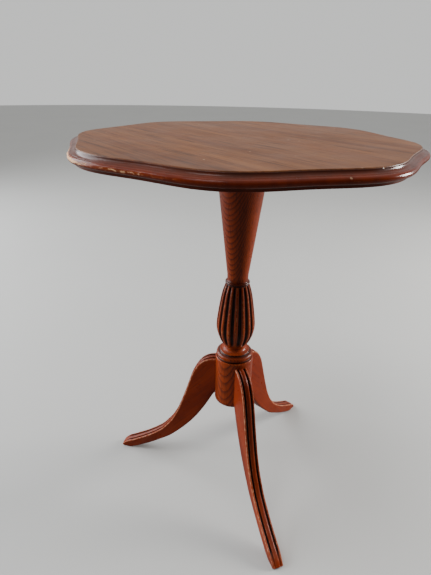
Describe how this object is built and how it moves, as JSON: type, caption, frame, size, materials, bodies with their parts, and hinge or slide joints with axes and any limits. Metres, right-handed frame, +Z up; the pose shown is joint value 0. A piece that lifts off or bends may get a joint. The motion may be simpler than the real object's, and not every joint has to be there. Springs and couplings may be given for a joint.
{
  "type": "tilt top table",
  "caption": "Small wooden pedestal table with a lobed moulded top that tilts upright, a turned column with a reeded urn, and curved reeded legs.",
  "frame": {"origin": "on the floor, on the column's axis", "axes": "+Z up; X along the hinge axis and the top's grain; -Y towards the barrel bolt, +Y towards the hinge side"},
  "size_m": [0.433, 0.433, 0.55],
  "materials": {
    "top_wood": "semi-gloss stained mahogany",
    "column_wood": "semi-gloss stained mahogany",
    "leg_wood": "semi-gloss stained mahogany",
    "beech": "raw beech",
    "brass": "satin, tarnished",
    "steel": "satin"
  },
  "bodies": {
    "stand": {"column": "column_wood", "pivot_block": "top_wood", "tenon_wedge": "beech", "leg_1": "leg_wood", "leg_2": "leg_wood", "leg_3": "leg_wood", "leg_dowel_1_lower": "beech", "leg_dowel_1_upper": "beech", "leg_dowel_2_lower": "beech", "leg_dowel_2_upper": "beech", "leg_dowel_3_lower": "beech", "leg_dowel_3_upper": "beech", "pivot_pin_left": "steel", "pivot_pin_right": "steel", "keeper_plate": "brass", "keeper_screw_left": "brass", "keeper_screw_right": "brass"},
    "tilting_top": {"table_top": "top_wood", "bearer_left": "top_wood", "bearer_right": "top_wood", "bearer_screw_left_front": "steel", "bearer_screw_left_middle": "steel", "bearer_screw_left_rear": "steel", "bearer_screw_right_front": "steel", "bearer_screw_right_middle": "steel", "bearer_screw_right_rear": "steel", "bolt_case": "brass", "bolt_screw_left_front": "brass", "bolt_screw_left_rear": "brass", "bolt_screw_right_front": "brass", "bolt_screw_right_rear": "brass"},
    "bolt": {"catch_bolt": "brass", "bolt_knob": "brass"}
  },
  "joints": [
    {"name": "top_tilt", "type": "hinge", "parent": "stand", "child": "tilting_top", "pos_m": [0, 0.0468, 0.5219], "axis": [-1, 0, 0], "range_deg": [0, 90]},
    {"name": "bolt_slide", "type": "slide", "parent": "tilting_top", "child": "bolt", "axis": [0, 1, 0], "range_m": [0, 0.008]}
  ]
}
